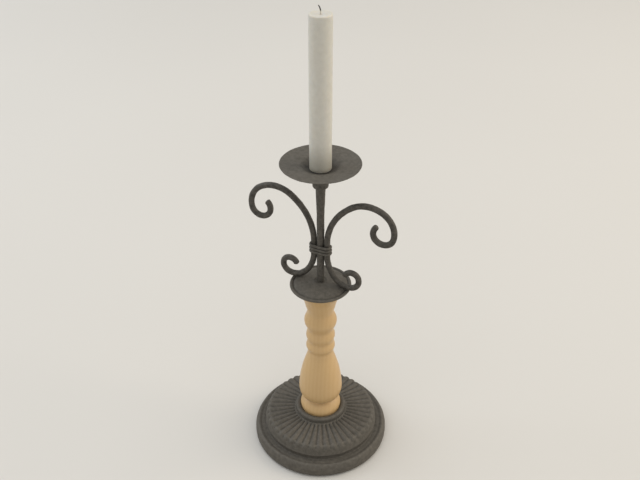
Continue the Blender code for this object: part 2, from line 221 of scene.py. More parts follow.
def piece(name, bm, finish, node, sharp=40):
    """Makes the mesh a piece that stands for a CAD node, moves with its body and has its slot."""
    bmesh.ops.remove_doubles(bm, verts=bm.verts, dist=1e-7)
    bmesh.ops.recalc_face_normals(bm, faces=bm.faces)
    mesh = bpy.data.meshes.new(name)
    bm.to_mesh(mesh)
    bm.free()
    mesh.shade_smooth()
    mesh.set_sharp_from_angle(angle=math.radians(sharp))
    mesh.materials.append(finish)
    obj = bpy.data.objects.new(name, mesh)
    bpy.context.scene.collection.objects.link(obj)
    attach(obj, frame["nodes"][node]["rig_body"])
    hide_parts(node)


def lathe(node, outline, segments=ROUND, shape=None):
    """A bmesh of an outline turned about the Z axis. shape(radius, height, turn) may move a point.

    An outline that starts off the axis is closed into a ring.
    """
    lift = foot(node)
    bm = bmesh.new()
    rings = []
    for radius, height in outline:
        if radius < 1e-6:
            rings.append([bm.verts.new((0, 0, (height + lift) * MM))] * segments)
            continue
        ring = []
        for k in range(segments):
            turn = 2 * math.pi * k / segments
            r, h = shape(radius, height, turn) if shape else (radius, height)
            ring.append(bm.verts.new((r * math.cos(turn) * MM, r * math.sin(turn) * MM, (h + lift) * MM)))
        rings.append(ring)
    on_axis = outline[0][0] < 1e-6
    pairs = list(zip(rings, rings[1:])) + ([] if on_axis else [(rings[-1], rings[0])])
    for ring, following in pairs:
        for k in range(segments):
            n = (k + 1) % segments
            corners = dict.fromkeys((ring[k], ring[n], following[n], following[k]))
            if len(corners) > 2:
                bm.faces.new(list(corners))
    return bm


def tube(rings_of_points):
    """A bmesh from rings of points in mm, with a fan at each end."""
    bm = bmesh.new()
    rings = [[bm.verts.new(Vector(p) * MM) for p in ring] for ring in rings_of_points]
    count = len(rings[0])
    for ring, following in zip(rings, rings[1:]):
        for k in range(count):
            n = (k + 1) % count
            bm.faces.new((ring[k], ring[n], following[n], following[k]))
    for ring in (rings[0], rings[-1]):
        middle = bm.verts.new(sum((v.co for v in ring), Vector()) / count)
        for k in range(count):
            bm.faces.new((ring[k], ring[(k + 1) % count], middle))
    return bm


def hammered(place, depth, size=5.0):
    """How far hammering has moved the surface of a forged piece at a place: dents and finer dents."""
    fine = 0.4
    broad_dent = depth * noise.noise(Vector(place) / size)
    return broad_dent + fine * depth * noise.noise(Vector(place) / (fine * size))


# ------------------------------------------------------------------------------------------------- materials


def new_material(name, roughness, metallic=0.0, specular=0.5):
    made = bpy.data.materials.new(name)
    made.use_nodes = True
    shader = made.node_tree.nodes["Principled BSDF"]
    shader.inputs["Roughness"].default_value = roughness
    shader.inputs["Metallic"].default_value = metallic
    shader.inputs["Specular IOR Level"].default_value = specular
    return made, made.node_tree, shader


def add(tree, kind, inputs=None, **settings):
    """A new node, with its settings and with each input set to a value or linked to a socket."""
    node = tree.nodes.new(kind)
    for key, value in settings.items():
        setattr(node, key, value)
    for socket, value in (inputs or {}).items():
        if isinstance(value, bpy.types.NodeSocket):
            tree.links.new(value, node.inputs[socket])
        else:
            node.inputs[socket].default_value = value
    return node


def own_place(tree):
    """The piece's own coordinates, in metres."""
    return add(tree, "ShaderNodeTexCoord").outputs["Object"]


def own_height(tree):
    """The height in the piece's own coordinates, in metres."""
    return add(tree, "ShaderNodeSeparateXYZ", {0: own_place(tree)}).outputs["Z"]


def stretched(tree, scale):
    """The piece's own coordinates, scaled on each axis."""
    return add(tree, "ShaderNodeMapping", {"Vector": own_place(tree), "Scale": scale}).outputs["Vector"]


def speckle(tree, size, detail=3.0, roughness=0.6, stretch=(1, 1, 1), distortion=0.0):
    """Noise whose grains are about size mm across, from 0 to 1."""
    inputs = {"Vector": stretched(tree, stretch), "Scale": 1 / (size * MM), "Detail": detail}
    inputs.update({"Roughness": roughness, "Distortion": distortion})
    return add(tree, "ShaderNodeTexNoise", inputs).outputs["Fac"]


def ramp(tree, factor, *stops):
    """A colour ramp with (position, colour) stops, where a single number is a grey."""
    node = add(tree, "ShaderNodeValToRGB", {"Fac": factor})
    elements = node.color_ramp.elements
    while len(elements) < len(stops):
        elements.new(0.5)
    for element, (position, colour) in zip(elements, stops):
        element.position = position
        element.color = (*colour, 1) if isinstance(colour, tuple) else (colour, colour, colour, 1)
    return node.outputs["Color"]


def spread(tree, factor, low, high, from_low=0.3, from_high=0.7):
    """The factor's range from from_low to from_high, mapped to low and high. The defaults suit noise."""
    inputs = {"Value": factor, "From Min": from_low, "From Max": from_high, "To Min": low, "To Max": high}
    return add(tree, "ShaderNodeMapRange", inputs).outputs["Result"]


def blend(tree, factor, a, b, mode="MIX"):
    """The colour a with b laid over it; each is a colour or a socket."""
    node = add(tree, "ShaderNodeMix", {"Factor": factor}, data_type="RGBA", blend_type=mode)
    for socket, value in ((node.inputs[6], a), (node.inputs[7], b)):
        if isinstance(value, bpy.types.NodeSocket):
            tree.links.new(value, socket)
        else:
            socket.default_value = (*value, 1)
    return node.outputs[2]


def bump(tree, height, depth, below=None):
    """A normal from a height between 0 and 1, depth in mm."""
    inputs = {"Height": height, "Distance": depth * MM, "Strength": 1.0}
    if below:
        inputs["Normal"] = below
    return add(tree, "ShaderNodeBump", inputs).outputs["Normal"]


def iron(name, dark, light, grain, pits, roughness, soot_and_painted_shade=None):
    """Blackened iron: mottled oxide, painted shade in the hollows, painted light on the ridges and a rough
    skin.

    grain is the size of its grains and pits the depth of its lumps. The last argument is the radius where the
    painted shade round the middle, where the candle shades the pan, has faded out.
    """
    made, tree, shader = new_material(name, roughness, metallic=0.2, specular=0.3)
    patches = speckle(tree, 4, detail=4)
    grains = speckle(tree, grain, detail=5, roughness=0.75)
    mottled = add(tree, "ShaderNodeMath", {0: patches, 1: grains}, operation="ADD").outputs[0]
    colour = ramp(tree, spread(tree, mottled, 0, 1, 0.75, 1.25), (0.0, dark), (1.0, light))
    pointed = add(tree, "ShaderNodeNewGeometry").outputs["Pointiness"]
    # Painted shade: darker where the surface is hollow. Painted light: a little lighter on sharp ridges.
    painted_hollow_shade_and_ridge_light = ramp(tree, pointed, (0.43, 0.35), (0.497, 1.0), (0.52, 1.0), (0.60, 1.12))
    colour = blend(tree, 1.0, colour, painted_hollow_shade_and_ridge_light, "MULTIPLY")
    if soot_and_painted_shade:
        # Painted shade round the middle of the pan, where the candle shades it: darkest inside, ragged at its
        # edge.
        fade_start, ragged_by = 10, 6
        place = stretched(tree, (1, 1, 0))
        radius = add(tree, "ShaderNodeVectorMath", {0: place}, operation="LENGTH").outputs["Value"]
        inputs = {0: patches, 1: ragged_by * MM, 2: radius}
        ragged = add(tree, "ShaderNodeMath", inputs, operation="MULTIPLY_ADD").outputs[0]
        mean = ragged_by / 2
        painted_shade_amount = spread(tree, ragged, 0.78, 0, (fade_start + mean) * MM, (soot_and_painted_shade + mean) * MM)
        colour = blend(tree, painted_shade_amount, colour, (0.022, 0.019, 0.016))
    tree.links.new(colour, shader.inputs["Base Color"])
    tree.links.new(spread(tree, grains, roughness - 0.08, roughness + 0.1), shader.inputs["Roughness"])
    lumps = bump(tree, speckle(tree, 4.5, detail=2), pits)
    skin = bump(tree, grains, 0.12, lumps)
    tree.links.new(skin, shader.inputs["Normal"])
    return made


def turned_wood():
    """Pale hardwood: growth rings off the column's axis, fine fibres, short pores and a satin varnish."""
    made, tree, shader = new_material("turned_hardwood", 0.42, specular=0.45)
    shader.inputs["Coat Weight"].default_value = 0.12
    shader.inputs["Coat Roughness"].default_value = 0.3
    inputs = {"Vector": own_place(tree), "Location": (0.055, 0.03, 0), "Scale": (1, 1, 0.06)}
    aside = add(tree, "ShaderNodeMapping", inputs).outputs["Vector"]
    inputs = {"Vector": aside, "Scale": 70, "Distortion": 3.0, "Detail": 2, "Detail Scale": 0.6}
    rings = add(tree, "ShaderNodeTexWave", inputs, wave_type="RINGS", rings_direction="Z", wave_profile="SIN")
    fibres = speckle(tree, 1.3, detail=5, roughness=0.7, stretch=(1, 1, 0.07), distortion=0.4)
    pores = speckle(tree, 0.7, detail=2, stretch=(1, 1, 0.14))
    cloud = speckle(tree, 26, detail=3, stretch=(1, 1, 0.5))
    early, late = (0.58, 0.39, 0.187), (0.56, 0.367, 0.17)
    colour = ramp(tree, rings.outputs["Fac"], (0.0, early), (1.0, late))
    colour = blend(tree, spread(tree, fibres, 0, 0.10), colour, (0.46, 0.29, 0.125))
    colour = blend(tree, spread(tree, pores, 0, 0.2, 0.6, 0.75), colour, (0.36, 0.21, 0.09))
    colour = blend(tree, spread(tree, cloud, 0, 0.3), colour, (0.56, 0.38, 0.165))
    tree.links.new(colour, shader.inputs["Base Color"])
    tree.links.new(spread(tree, fibres, 0.38, 0.5), shader.inputs["Roughness"])
    tree.links.new(bump(tree, fibres, 0.05), shader.inputs["Normal"])
    return made


def candle_wax():
    """Dipped white wax: a little translucent, with a faint mottle, and painted shade darkening it towards its
    foot.
    """
    made, tree, shader = new_material("candle_wax", 0.4)
    shader.inputs["Subsurface Weight"].default_value = 0.35
    shader.inputs["Subsurface Radius"].default_value = (1.0, 0.8, 0.55)
    shader.inputs["Subsurface Scale"].default_value = 3 * MM
    mottle = speckle(tree, 5, detail=4)
    colour = blend(tree, spread(tree, mottle, 0, 1), (0.57, 0.549, 0.486), (0.62, 0.599, 0.536))
    # Painted shade: the wax is darkened over its lowest 28 mm, where the pan shades it.
    foot_shade_top = foot("candle") + 28
    painted_foot_shade = spread(tree, own_height(tree), 0.75, 0, foot("candle") * MM, foot_shade_top * MM)
    colour = blend(tree, painted_foot_shade, colour, (0.375, 0.350, 0.28))
    tree.links.new(colour, shader.inputs["Base Color"])
    tree.links.new(spread(tree, mottle, 0.34, 0.48), shader.inputs["Roughness"])
    dips = bump(tree, speckle(tree, 9, detail=2, stretch=(1, 1, 0.5)), 0.12)
    tree.links.new(bump(tree, speckle(tree, 0.8, detail=2), 0.025, dips), shader.inputs["Normal"])
    return made


def wick_cotton():
    """Braided cotton, waxed pale inside the candle and charred towards its tip."""
    made, tree, shader = new_material("wick_cotton", 0.9, specular=0.2)
    candle_top = foot("candle") + tall("candle")
    charred = spread(tree, own_height(tree), 0, 1, (candle_top + 1.6) * MM, (candle_top + 3.0) * MM)
    threads = speckle(tree, 0.3, detail=2, stretch=(1, 1, 0.4))
    pale = blend(tree, threads, (0.58, 0.55, 0.47), (0.68, 0.65, 0.57))
    soot_and_painted_shade = blend(tree, threads, (0.012, 0.010, 0.009), (0.035, 0.03, 0.026))
    tree.links.new(blend(tree, charred, pale, soot_and_painted_shade), shader.inputs["Base Color"])
    tree.links.new(bump(tree, threads, 0.08), shader.inputs["Normal"])
    return made


def zinc_steel():
    """Zinc plating with a faint spangle."""
    made, tree, shader = new_material("zinc_steel", 0.35, metallic=1.0)
    spangle = speckle(tree, 1.5, detail=3)
    colour = ramp(tree, spangle, (0.3, (0.36, 0.37, 0.38)), (0.7, (0.55, 0.56, 0.57)))
    tree.links.new(colour, shader.inputs["Base Color"])
    tree.links.new(spread(tree, spangle, 0.28, 0.45), shader.inputs["Roughness"])
    tree.links.new(bump(tree, speckle(tree, 0.4), 0.01), shader.inputs["Normal"])
    return made


def wool_felt():
    """Pressed wool: matted short fibres in two directions."""
    made, tree, shader = new_material("wool_felt", 0.95, specular=0.15)
    shader.inputs["Sheen Weight"].default_value = 0.3
    across = speckle(tree, 0.6, stretch=(1, 0.2, 1), distortion=1.0)
    along = speckle(tree, 0.6, stretch=(0.2, 1, 1), distortion=1.0)
    matted = add(tree, "ShaderNodeMath", {0: across, 1: along}, operation="MAXIMUM").outputs[0]
    colour = ramp(tree, matted, (0.4, (0.012, 0.016, 0.013)), (0.8, (0.05, 0.06, 0.05)))
    tree.links.new(colour, shader.inputs["Base Color"])
    tree.links.new(bump(tree, matted, 0.3), shader.inputs["Normal"])
    return made


def floor_finish():
    """A matt pale floor with faint wide clouds."""
    made, tree, shader = new_material("pale_floor", 0.85, specular=0.2)
    cloud = speckle(tree, 900, detail=1)
    colour = blend(tree, spread(tree, cloud, 0, 1), (0.630, 0.613, 0.580), (0.646, 0.629, 0.596))
    tree.links.new(colour, shader.inputs["Base Color"])
    return made


# -------------------------------------------------------------------------------------------------- the foot


def foot_bell(finish):
    """The cast foot: flutes on a low crown, a steep wall, an undercut groove, a ledge and a rolled rim."""
    seat = [(ROD_HOLE, 36.3), (29.4, 36.3)]
    crown = [(29.9, 36.3), (31.5, 36.15), (34, 35.9), (40, 35.5), (46, 35.0), (52, 34.55), (56.5, 34.15)]
    crown = curve(crown, 4)
    shoulder = arc((58.8, 29.0), 5.0, 80, 8, 12)
    wall = curve([(63.95, 28.1), (64.4, 26.0), (65.0, 23.9), (65.6, 22.5)], 3) + [(65.8, 22.0), (65.75, 21.6)]
    groove = curve([(65.5, 21.1), (64.9, 20.3), (64.75, 19.0), (64.8, 17.1), (65.2, 16.1), (66.1, 15.7)], 3)
    ledge = curve([(67.1, 15.75), (68.4, 15.9), (69.4, 15.9), (70.4, 15.9)], 3)
    roll = curve([(71.2, 16.05), (72.2, 16.45), (73.5, 16.8), (74.9, 16.3), (76.2, 14.8), (77.0, 13.1)], 4)
    roll += [(77.15, 12.6)] + curve([(77.45, 12.2), (77.85, 10.8), (78, 9.0), (78, 6.5), (77.9, 4.6)], 3)
    rim = roll + curve([(77.6, 3.3), (77.1, 2.4), (76.3, 1.85)], 3) + [(76.0, 1.8)]
    under = [(73.0, 1.8), (72.5, 2.1), (72.3, 3.0), (72.0, 11.0), (62.5, 14.0), (60.9, 15.0), (60.3, 16.4)]
    under += [(60.0, 26.0), (58.8, 28.4), (55.0, 30.5), (16.0, 32.0), (12.0, 31.6)]
    under += [(11.0, 30.4), (11.0, 29.5), (ROD_HOLE, 29.5)]
    outline = standing(seat + crown + shoulder + wall + groove + ledge + rim + under, "base_casting")
    fluted = set(standing(crown + shoulder, "base_casting"))
    fade_low, fade_high = 27.5 - foot("base_casting"), 31.5 - foot("base_casting")

    def flute(radius, height, turn):
        if (radius, height) not in fluted:
            return radius, height
        strength = smooth(radius, 29.8, 31.8) * smooth(height, fade_low, fade_high)
        hollow = (0.5 - 0.5 * math.cos(FLUTES * (turn - FLUTE_PHASE))) ** 1.5
        sink = FLUTE_DEPTH * strength * hollow
        facing = smooth(radius, 57, 63.8) * math.pi / 2  # 0 is up, on the crown; outward at the wall
        return radius - sink * math.sin(facing), height - sink * math.cos(facing)

    bell = lathe("base_casting", outline, FLUTES * STEPS_PER_FLUTE, flute)
    piece("foot_bell", bell, finish, "base_casting", 50)


def column_seat(finish):
    """The ring that centres the column on the foot, round outside and sloping gently down to the wood."""
    inner, outer, top = 23.4, reach("seat_ring"), tall("seat_ring")
    half = (outer - inner) / 2
    outline = [(inner, 0), (outer, 0)] + arc((outer - half, top - half), half, 0, 95, 14)
    outline += [(inner + 1.4, top - 0.15), (inner + 0.7, top - 0.45)]
    outline += [(inner + 0.2, top - 0.9), (inner, top - 1.3)]
    piece("column_seat", lathe("seat_ring", outline), finish, "seat_ring")


def felt_pad(finish):
    """The felt disc under the foot, with a slightly ragged edge."""
    thick, outer = tall("felt_disc"), reach("felt_disc")
    outline = [(0, 0), (outer - 0.6, 0), (outer, 0.4), (outer, thick - 0.4)]
    outline += [(outer - 0.4, thick), (0, thick)]

    def ragged(radius, height, turn):
        trim = 0.35 * noise.noise(Vector((math.cos(turn), math.sin(turn), 0)) * 24) - 0.2
        return (radius + trim if radius > outer - 1 else radius), height

    piece("felt_pad", lathe("felt_disc", outline, 2 * ROUND, ragged), finish, "felt_disc")


# ------------------------------------------------------------------------------------------------ the column


def turned_column(finish):
    """A foot bead, a crease, a tall vase, three beads, a cove and a flared top with a bead."""
    bore = 3
    top = foot("wood_column") + tall("wood_column")
    notches = [(14.1, 126.2), (14.2, 140.2), (14.1, 156.2), (14.2, 181.8)]
    spigot = [(bore, 36.6), (22.9, 36.6), (22.9, 42.0)]
    foot_bead = [(22.95, 42.2), (23.35, 44.0), (23.2, 46.2), (22.4, 48.7), (21.0, 51.2), (19.2, 53.5)]
    foot_bead = curve(foot_bead, 5) + curve([(18.4, 54.3), (17.5, 55.1), (17.0, 55.9)], 3)
    vase = [(17.2, 56.6), (18.4, 57.5), (20.2, 58.8), (22.1, 61.0), (23.7, 64.3), (24.7, 69.0)]
    vase += [(24.75, 75.0), (23.9, 84.0), (22.4, 93.5), (20.5, 102.0), (18.0, 110.8), (15.3, 119.6)]
    vase += [notches[0]]
    beads = bead(notches[0], notches[1], 16.2) + bead(notches[1], notches[2], 16.1)
    beads += bead(notches[2], notches[3], 18.0, 18)
    cove = curve([notches[3], (15.0, 185.5), (16.3, 190.0), (17.6, 195.5), (19.4, 201.0), (21.8, 205.4)], 4)
    disc = arc((22.2, 209.8), 2.4, -70, 70, 10) + [(23.0, 213.0), (23.0, top - 0.3), (22.7, top), (bore, top)]
    outline = standing(spigot + foot_bead + curve(vase, 6)[:-1] + beads + cove + disc, "wood_column")
    piece("turned_column", lathe("wood_column", outline, 128), finish, "wood_column", 50)


def top_plate(finish):
    """The cap: a very low cone with a beaded edge, a groove inside it, and a recess for the stem."""
    edge = [(ROD_HOLE, 216.0), (24, 216.0), (31.8, 216.7)]
    edge += curve([(32.6, 217.0), (33.0, 217.6), (32.9, 218.3)], 3)
    edge += curve([(32.5, 218.9), (31.9, 219.3), (31.3, 219.4), (30.6, 219.2)], 3)
    groove = [(30.2, 218.8), (29.9, 218.5), (29.5, 218.3), (29.1, 218.25)]
    groove += [(28.7, 218.4), (28.4, 218.7), (28.1, 219.15)]
    cone = curve([(27.7, 219.6), (26.6, 220.0), (24.6, 220.55), (22, 221.2), (15, 222.2)], 4)[:-1]
    cone += curve([(15, 222.2), (10, 222.6), (6.8, 222.8)], 4)
    recess = [(6.5, 222.7), (6.35, 222.5), (6.3, 222.25), (6.2, 222.2), (ROD_HOLE, 222.2)]
    outline = standing(edge + groove + cone + recess, "cap_plate")
    piece("top_plate", lathe("cap_plate", outline), finish, "cap_plate")


# -------------------------------------------------------------------------------------- rod, washers and nut


def thread(crest, height, turn):
    """The radius of a V thread's flank at a place."""
    along = (height / THREAD_PITCH - turn / (2 * math.pi)) % 1
    return crest - THREAD_DEPTH * abs(2 * along - 1)


def threaded_rod(finish):
    """The tie rod: plain in the middle, with a V thread at both ends."""
    outer, length = reach("tie_rod"), tall("tie_rod")
    steps = 8
    turns = round(THREAD_LENGTH / THREAD_PITCH)
    ends = [THREAD_PITCH * k / steps for k in range(4, turns * steps)]
    heights = ends + [length - h for h in reversed(ends)]
    outline = [(0, 0), (outer - 0.8, 0), (outer - 0.5, 0.2)] + [(outer, h) for h in heights]
    outline += [(outer - 0.5, length - 0.2), (outer - 0.8, length), (0, length)]

    def cut(radius, height, turn):
        inside = height < ends[-1] or height > length - ends[-1]
        if radius < outer - 1e-6 or not inside:
            return radius, height
        run_out = min(smooth(height, 0, 1.2), smooth(length - height, 0, 1.2))
        return thread(radius, height, turn) * run_out + (outer - 0.5) * (1 - run_out), height

    piece("threaded_rod", lathe("tie_rod", outline, 32, cut), finish, "tie_rod", 80)


def flat_washer(finish):
    outer, thick = reach("rod_washer"), tall("rod_washer")
    outline = softened([(ROD_HOLE, 0), (outer, 0), (outer, thick), (ROD_HOLE, thick)], 0.25)
    piece("flat_washer", lathe("rod_washer", outline, SMALL_ROUND), finish, "rod_washer")


def lock_washer(finish):
    """A split ring, with one end of its cut higher than the other."""
    low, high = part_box("spring_washer")
    thick, width, rise = 1.1, 1.6, 0.7
    middle, radius = (low.z + high.z) / 2 / MM, high.y / MM - width / 2
    a, b = width / 2, thick / 2
    section = softened([(-a, -b), (a, -b), (a, b), (-a, b)], 0.2)
    cut = 8  # from the X axis to each end, in degrees
    rings = []
    steps = 90
    for k in range(steps + 1):
        turn = math.radians(cut + (360 - 2 * cut) * k / steps)
        lift = middle + rise * (k / steps - 0.5)
        places = [(radius + out, lift + up) for out, up in section]
        rings.append([(r * math.cos(turn), r * math.sin(turn), h) for r, h in places])
    piece("lock_washer", tube(rings), finish, "spring_washer")


def hex_nut(finish):
    """A hexagon with its corners turned off at 30 degrees, and a chamfered hole."""
    low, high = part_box("rod_nut")
    thick = tall("rod_nut")
    flat = min(high.x, high.y) / MM
    bite = 0.35
    turned_off = 0.96 * flat
    outline = [(ROD_HOLE, bite), (ROD_HOLE + bite, 0), (turned_off, 0), (flat, 0.1), (flat, thick - 0.1)]
    outline += [(turned_off, thick), (ROD_HOLE + bite, thick), (ROD_HOLE, thick - bite)]
    first_corner = 0 if high.x > high.y else math.pi / 6

    def hexagon(radius, height, turn):
        if radius < flat:
            return radius, height
        across = (turn - first_corner) % (math.pi / 3) - math.pi / 6
        corner = flat / math.cos(across)
        drop = (corner - turned_off) * math.tan(math.radians(30))
        return corner, drop if height < thick / 2 else thick - drop

    piece("hex_nut", lathe("rod_nut", outline, 72, hexagon), finish, "rod_nut", 30)


# ------------------------------------------------------------------------------------------ stem and scrolls


def forged_stem(finish):
    """The stem: a plain foot in the cap's recess, an even shaft and a slow swelling up to its shoulder."""
    shaft_start, shaft_end, steps = 229.5, 303.0, 66
    socket_end, shank_end = 246, 343
    tenon = 3.8
    outline = [(0, socket_end), (ROD_HOLE, socket_end), (ROD_HOLE, 222.5), (3.5, 222.5)]
    outline += curve([(3.8, 222.7), (4.05, 223.3), (4.15, 224.5), (4.1, 226.5), (3.97, 229.0)], 3)
    outline += [(STEM_RADIUS, shaft_start + (shaft_end - shaft_start) * k / steps) for k in range(steps)]
    swelling = [(STEM_RADIUS, shaft_end), (4.1, 311), (4.35, 317), (4.65, 325), (4.9, 331), (5.1, 334.6)]
    outline += curve(swelling, 6)
    outline += [(4.9, STEM_SHOULDER), (tenon, STEM_SHOULDER), (tenon, STEM_TOP - 0.3), (3.5, STEM_TOP)]
    outline += [(SHANK_HOLE, STEM_TOP), (SHANK_HOLE, shank_end), (0, shank_end)]
    outline = standing(outline, "stem")
    beaten_from, beaten_to = 224 - foot("stem"), STEM_SHOULDER - 0.1 - foot("stem")

    def beaten(radius, height, turn):
        if radius < tenon + 0.05 or not beaten_from < height < beaten_to:
            return radius, height
        place = (radius * math.cos(turn), radius * math.sin(turn), height)
        return radius + hammered(place, 0.14), height

    piece("forged_stem", lathe("stem", outline, 40, beaten), finish, "stem")


def scroll_side(arcs, start, heading):
    """Points (x, z) along a chain of arcs, from the binding outwards. Heading is +1 up or -1 down."""
    spacing = 1.0
    x, z = start
    angle = math.radians(90) * heading
    points = []
    for radius, turn in arcs:
        sweep = -heading * math.radians(turn)
        steps = math.ceil(radius * abs(sweep) / spacing)
        side = -heading * radius
        centre = (x - side * math.sin(angle), z + side * math.cos(angle))
        for k in range(1, steps + 1):
            a = angle + sweep * k / steps
            points.append((centre[0] + side * math.sin(a), centre[1] - side * math.cos(a)))
        x, z = points[-1]
        angle += sweep
    return points


def scroll_path():
    """The middle of the right-hand bar, from its lower curl through the binding to its upper curl."""
    upper = scroll_side(UPPER_ARCS, (BAR_OFFSET, STRAIGHT_TOP), 1)
    lower = scroll_side(LOWER_ARCS, (BAR_OFFSET, STRAIGHT_BOTTOM), -1)
    steps = 16
    rise = STRAIGHT_TOP - STRAIGHT_BOTTOM
    middle = [(BAR_OFFSET, STRAIGHT_BOTTOM + rise * k / steps) for k in range(steps + 1)]
    return [Vector((x, 0, z)) for x, z in list(reversed(lower)) + middle + upper]


def forged_scroll(name, node, side, finish):
    """One round bar, hammered all along, with blunt ends. Side is 1 on the right or -1 on the left."""
    path = [Vector((side * p.x, 0, p.z)) for p in scroll_path()]
    sides = 24
    other_dents = Vector((0, 40 * side, 0))  # so that the two bars aren't dented alike
    travelled = [0.0]
    for a, b in zip(path, path[1:]):
        travelled.append(travelled[-1] + (b - a).length)
    rings = []
    for k, place in enumerate(path):
        ahead, behind = path[min(k + 1, len(path) - 1)], path[max(k - 1, 0)]
        along = (ahead - behind).normalized()
        out = Vector((along.z, 0, -along.x))
        from_end = min(travelled[k], travelled[-1] - travelled[k])
        size = BAR_RADIUS * (1 - 0.45 * max(0, 1 - from_end / BLUNT) ** 2.2)
        flattened = hammered(place * 0.8, 0.1, 9)
        ring = []
        for j in range(sides):
            turn = 2 * math.pi * j / sides
            spoke = out * math.cos(turn) + Vector((0, 1, 0)) * math.sin(turn)
            surface = place + spoke * size
            dent = hammered(surface + other_dents, 0.17) + flattened * math.cos(2 * turn)
            ring.append(surface + spoke * dent)
        rings.append(ring)
    piece(name, tube(rings), finish, node)


def stadium(distance, half_flat, radius):
    """A place and its outward direction on a stadium about the Z axis, at a distance along its edge."""
    end = math.pi * radius
    flat = 2 * half_flat
    distance %= 2 * (end + flat)
    turn = 1
    if distance >= end + flat:
        distance -= end + flat
        turn = -1
    if distance < end:
        angle = distance / radius - math.pi / 2
        out = Vector((math.cos(angle), math.sin(angle), 0))
        return (Vector((half_flat, 0, 0)) + radius * out) * turn, out * turn
    out = Vector((0, 1, 0))
    return Vector((half_flat - (distance - end), radius, 0)) * turn, out * turn


def wire_binding(finish):
    """Half-round wire wound round both bars and the stem, climbing to each next turn at the back."""
    inner = STEM_RADIUS + GAP
    half_flat = BAR_OFFSET + BAR_RADIUS + GAP - inner
    length = 2 * math.pi * inner + 4 * half_flat
    section = [(0.0, -BINDING_WIDTH / 2)]
    section += [
        (BINDING_THICKNESS * math.cos(a) ** 0.9, BINDING_WIDTH / 2 * math.sin(a))
        for a in (math.radians(-75 + 15 * k) for k in range(11))
    ]
    section += [(0.0, BINDING_WIDTH / 2)]
    climb_start, climb_length = 0.25, 0.27  # shares of a turn
    begin, end = 0.56, BINDING_TURNS + 0.2  # in turns, from the front right corner
    steps = 280
    rings = []
    for k in range(steps + 1):
        turn = begin + (end - begin) * k / steps
        place, out = stadium(turn * length, half_flat, inner)
        whole = math.floor(turn - climb_start)
        climbed = smooth(turn - climb_start - whole, 0, climb_length)
        place.z = BINDING_MIDDLE + BINDING_PITCH * (whole + climbed - (BINDING_TURNS + 1) / 2)
        taper = 1 - 0.35 * max(0, 1 - min(k, steps - k) / 5) ** 2
        ring = [place + out * (a * taper) + Vector((0, 0, b * taper)) for a, b in section]
        crown = [p + out * hammered(p, 0.05, 3) for p in ring[1:-1]]
        rings.append([ring[0]] + crown + [ring[-1]])
    piece("wire_binding", tube(rings), finish, "binding_wire")


# -------------------------------------------------------------------------------------------- pan and candle


def pan_collar(finish):
    """The collar between the stem and the pan: a short neck, a rounded step and a slow flare."""
    neck = [(4.1, 335.3), (5.2, 335.3), (5.35, 335.6), (5.4, 336.7)]
    step = curve([(5.6, 337.0), (6.6, 337.2), (7.5, 337.6), (7.95, 338.3), (8.1, 339.3)], 3)
    flare = curve([(8.15, 341.0), (8.2, 344), (8.45, 347), (9.2, 352), (10.0, 355.5), (10.4, 356.2)], 4)
    outline = standing(neck + step + flare + [(10.2, 356.5), (4.1, 356.5)], "pan_flange")
    piece("pan_collar", lathe("pan_flange", outline, SMALL_ROUND), finish, "pan_flange")


def dished_pan(finish):
    """A thin saucer, beaten by hand: a flat seat for the candle, a slope round it and a wide shallow brim."""
    seat, slope_end, brim_end = 12.0, 20.0, 39
    slope = [(11, 358.0), (12.3, 358.1), (14.5, 358.9), (17, 360.25), (19.5, 361.4), (22.5, 362.2)]
    brim = [(22.5, 362.2), (26, 362.7), (31, 363.1), (36, 363.4), (38.6, 363.65)]
    upper = curve(slope, 4)[:-1] + curve(brim, 6)
    lower = [(r, z - PAN_THICKNESS + 0.5 * smooth(r, slope_end, brim_end)) for r, z in upper]
    edge = [(39.9, 363.1), (40.3, 363.25), (40.45, 363.5), (40.4, 363.75), (40.2, 363.88), (39.8, 363.88)]
    outline = [(SHANK_HOLE, 356.8), (7, 356.8)] + lower + edge
    outline += upper[::-1] + [(7, 358.0), (SHANK_HOLE, 358.0)]

    def beaten(radius, height, turn):
        place = (radius * math.cos(turn), radius * math.sin(turn), 0)
        return radius, height + hammered(place, 0.2, 8) * smooth(radius, seat, slope_end)

    saucer = lathe("drip_pan", standing(outline, "drip_pan"), 120, beaten)
    piece("dished_pan", saucer, finish, "drip_pan", 50)


def spike(finish):
    """The pricket: a shank into the stem, a shoulder on the pan and a filed spike."""
    tip = tall("pricket")
    shoulder = foot("drip_pan") + PAN_THICKNESS + GAP - foot("pricket")
    shank, collar, root = 1.9, 4.0, 2.4
    outline = [(0, 0), (shank - 0.4, 0), (shank, 0.4), (shank, shoulder), (collar - 0.3, shoulder)]
    outline += [(collar, shoulder + 0.3), (collar, shoulder + 0.7), (collar - 0.3, shoulder + 1.0)]
    outline += [(root, shoulder + 1.0)]
    taper = [(root, shoulder + 1.2), (2.2, tip - 18), (1.9, tip - 12), (1.0, tip - 4), (0.25, tip - 0.4)]
    outline += curve(taper) + [(0, tip)]
    piece("spike", lathe("pricket", outline, 32), finish, "pricket")


